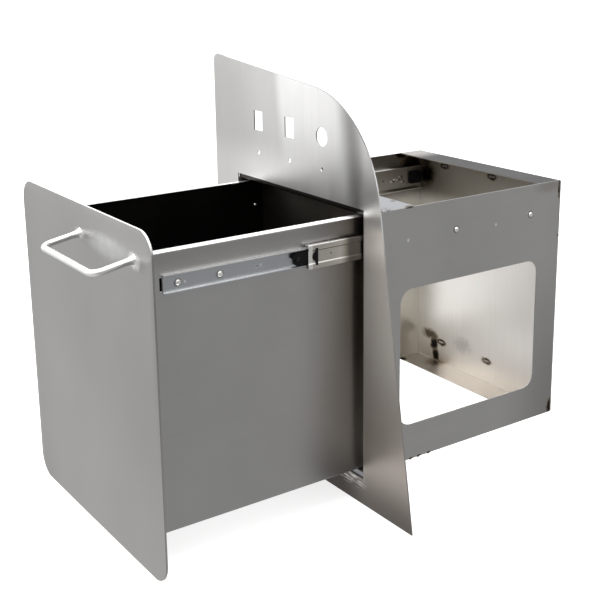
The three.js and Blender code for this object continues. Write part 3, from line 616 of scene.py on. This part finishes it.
bin_steel = brushed("bin_brushed", (0.53, 0.525, 0.52), 0.34, LENGTHWISE)
inside = ((1 - abs(bin_steel.x).above(inner_half - 0.0002, inner_half))
          * bin_steel.z.within(floor_top, rim_low, 0.0002))
bin_steel.lay((0.42, 0.41, 0.40), bin_steel.z.above(0.350, 0.385))
# Painted shade on the bin near the fascia, lighter low down.
shade_near_fascia = bin_steel.y.above(-0.115, 0.0) * (0.62 + 0.38 * bin_steel.z.above(0.06, 0.24))
bin_steel.lay((0.14, 0.125, 0.11), shade_near_fascia)
# Painted shade inside the bin.
bin_steel.lay((0.035, 0.032, 0.030), inside)
# Painted highlight on the rims' upward faces.
rim_highlight = bin_steel.facing[2].above(0.5, 0.7) * bin_steel.z.above(0.385, 0.388)
bin_steel.lay((0.85, 0.85, 0.85), rim_highlight)
left_edge = (1 - bin_steel.x.above(-0.1550, -0.1540)) * bin_steel.z.above(0.388, 0.389)
bin_steel.lay((0.40, 0.40, 0.40), left_edge)
bin_steel.close("bin_wrap")

bin_end = brushed("bin_end_brushed", (0.54, 0.53, 0.52), 0.36)
shade_between_ends = bin_end.y.within(-0.36, 0.036, 0.0002)
# Painted shade on the ends' inner faces below the rim.
bin_end.lay((0.20, 0.18, 0.155), shade_between_ends * (1 - bin_end.z.above(0.388, 0.389)))
# Painted highlight on the ends' rims.
bin_end.lay((1.0, 1.0, 1.0), bin_end.facing[2].above(0.5, 0.7) * bin_end.z.above(0.385, 0.388))
bin_end.close("bin_front_wall", "bin_rear_wall")


# ---- Front panel -----------------------------------------------------------------------------
# A 3 mm stainless plate, cut with round corners and its edges eased. It is brushed upright and welded to
# the bin's front wall, with painted shade that darkens it upwards, painted reflections round the handle
# and a painted highlight on its top edge.

panel_low, panel_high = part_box("front_panel")
PANEL_CORNER, EASED_EDGE = 0.032, 0.0005
FRONT_Y = -0.352                                # the panel's face

no_selection()
bpy.ops.mesh.primitive_cube_add(size=1, location=(panel_low + panel_high) / 2)
bpy.context.object.scale = panel_high - panel_low
bpy.ops.object.transform_apply(location=True, rotation=True, scale=True)
edit(lambda a, b: abs(a.y - b.y) > 0.001)
bpy.ops.mesh.bevel(offset=PANEL_CORNER, segments=14, affect="EDGES")
edit(lambda a, b: abs(a.y - b.y) < 0.0001)
bpy.ops.mesh.bevel(offset=EASED_EDGE, segments=2, affect="EDGES")
front_panel = settle(bpy.context.object, "brushed_front_panel", "drawer", 30,
                     ("front_panel",))

front = brushed("front_panel_brushed", (0.52, 0.505, 0.49), 0.36)
# Painted shade: darker upwards, and more so at the upper left.
front.lay((0.35, 0.345, 0.34), front.z.above(-0.05, 0.43))
front.lay((0.30, 0.295, 0.29), front.z.above(0.15, 0.42) * (1 - front.x.above(-0.05, 0.15)) * 0.8)
# Painted reflections round the handle's feet and between them.
front.lay((0.80, 0.80, 0.80), front.spot((0.160, FRONT_Y, 0.387), (0.022, 0.004, 0.014), 0.5))
front.lay((0.66, 0.66, 0.66), front.spot((-0.004, FRONT_Y, 0.389), (0.020, 0.004, 0.010), 0.5))
front.lay((0.52, 0.52, 0.52), front.spot((0.085, FRONT_Y, 0.388), (0.085, 0.004, 0.020), 0.4)
          * (0.5 + 0.6 * front.noise((70, 70, 70), 2)))
# Painted highlight on the top edge.
front.lay((1.0, 1.0, 1.0), (1 - abs(front.facing[1]).above(0.8, 0.97)) * front.z.above(0.40, 0.42))
front.close()
dress(front_panel, front)


# ---- Handle ----------------------------------------------------------------------------------
# A 9 mm stainless rod, bent twice and polished bright. Each leg is welded to the panel with a flare of
# weld, and the rod hangs a little low.

handle_low, handle_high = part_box("handle")
ROD_RADIUS, BEND, REACH = 0.0045, 0.014, 0.056
DROOP = math.atan2(0.010, REACH)
foot_y = panel_low.y
foot_z = panel_high.z - 0.042
left_leg, right_leg = handle_low.x + ROD_RADIUS, handle_high.x - ROD_RADIUS

disc((left_leg, foot_y, foot_z), ROD_RADIUS, (math.pi / 2, 0, 0), 28)


def draw_on(x, y):
    bpy.ops.mesh.extrude_region_move(TRANSFORM_OT_translate={"value": (x, y, 0)})


def turn(centre_x, centre_y):
    bpy.ops.mesh.spin(steps=10, angle=-math.pi / 2, center=(centre_x, centre_y, foot_z), axis=(0, 0, 1))


draw_on(0, -(REACH - BEND))
turn(left_leg + BEND, foot_y - REACH + BEND)
draw_on(right_leg - left_leg - 2 * BEND, 0)
turn(right_leg - BEND, foot_y - REACH + BEND)
draw_on(0, REACH - BEND)
close_up()
bpy.ops.transform.rotate(value=-DROOP, orient_axis="X", center_override=(0, foot_y, foot_z))
handle = settle(bpy.context.object, "bright_handle", "drawer", 50, ("handle",))

bright = Finish("polished_rod", (0.92, 0.92, 0.91), 0.16)
rub = bright.noise((60, 900, 900), 3)
bright.shade = 0.94 + 0.12 * rub
bright.roughness = 0.10 + 0.16 * rub
bright.height = 0.000004 * rub
bright.close()
dress(handle, bright)

WELD_FOOT = 0.0072
FLARE = ((0.0010, 0.0064), (0.0018, 0.0057), (0.0026, 0.0052), (0.0034, 0.0048), (0.0040, 0.0046))
along_leg = (0, -math.cos(DROOP), -math.sin(DROOP))
for name, x in (("left", left_leg), ("right", right_leg)):
    disc((x, foot_y, foot_z), WELD_FOOT, (math.pi / 2, 0, 0), 28)
    draw_out((x, foot_y, foot_z), along_leg, FLARE, WELD_FOOT)
    close_up()
    dress(settle(bpy.context.object, f"handle_weld_{name}", "drawer", 60), bright)


# ---- Studio ----------------------------------------------------------------------------------
# A pale floor under the fascia's foot, an even white surround that is dimmer low down and to the
# right rear, and two large soft lights.

no_selection()
floor_level = cad_box[0].z - 0.0005             # just under the fascia's foot
bpy.ops.mesh.primitive_plane_add(size=12, location=(0, 0, floor_level))
floor = bpy.context.object
floor.name = "floor"
pale = Finish("pale_floor", (0.62, 0.62, 0.62), 0.8, 0.0)
pale.shade = 0.99 + 0.02 * pale.noise((3, 3, 3), 2)
pale.shader.inputs["Emission Color"].default_value = (1, 1, 1, 1)
pale.shader.inputs["Emission Strength"].default_value = 0.74
pale.close()
dress(floor, pale)
floor.visible_glossy = False

world = bpy.data.worlds.new("studio")
bpy.context.scene.world = world
surround = Wiring(world)
heading = surround.parts(surround.node("TexCoord", output="Generated"))
left_front = heading[0] * -0.84 + heading[1] * -0.54
low = 1 - heading[2].above(-0.5, -0.05)
high = heading[2].above(0.15, 0.45)
strength = (0.38 + 0.60 * left_front.above(-0.6, 0.7)
            - 0.34 * low * left_front.above(-0.2, 0.6) + 0.75 * high)
seen = surround.node("LightPath", output="Is Camera Ray")
strength = strength * (1 - seen) + seen * 1.05
glow = surround.tree.nodes["Background"]
glow.inputs["Color"].default_value = (1, 1, 1, 1)
surround.tree.links.new(strength.socket, glow.inputs["Strength"])


def soft_light(name, place, target, size, power):
    lamp = bpy.data.lights.new(name, "AREA")
    lamp.shape, lamp.size, lamp.energy = "SQUARE", size, power
    holder = bpy.data.objects.new(name, lamp)
    bpy.context.scene.collection.objects.link(holder)
    holder.matrix_world = Matrix.Translation(place) @ (
        (Vector(target) - Vector(place)).to_track_quat("-Z", "Y").to_matrix().to_4x4())


soft_light("overhead", (0.2, -0.2, 2.6), (0, 0, 0), 2.2, 60)
soft_light("left_window", (-1.8, -1.6, 1.5), (0, 0, 0.3), 1.4, 25)

lens_place = Vector((1.3564, -0.9191, 0.7599))
turn_left, tilt_down, roll = (math.radians(a) for a in (55.74, 14.15, -0.74))
ahead = Vector((-math.sin(turn_left) * math.cos(tilt_down),
                math.cos(turn_left) * math.cos(tilt_down), -math.sin(tilt_down)))
level = Vector((math.cos(turn_left), math.sin(turn_left), 0))
upward = level.cross(ahead)
right = level * math.cos(roll) + upward * math.sin(roll)
up = upward * math.cos(roll) - level * math.sin(roll)
camera = bpy.data.objects.new("camera", bpy.data.cameras.new("camera"))
bpy.context.scene.collection.objects.link(camera)
camera.matrix_world = Matrix.Translation(lens_place) @ Matrix((right, up, -ahead)).transposed().to_4x4()
camera.data.sensor_width = 36
camera.data.lens = 66.37
camera.data.shift_y = -0.125
camera.data.clip_start, camera.data.clip_end = 0.01, 50
bpy.context.scene.camera = camera
bpy.context.scene.view_settings.view_transform = "Standard"
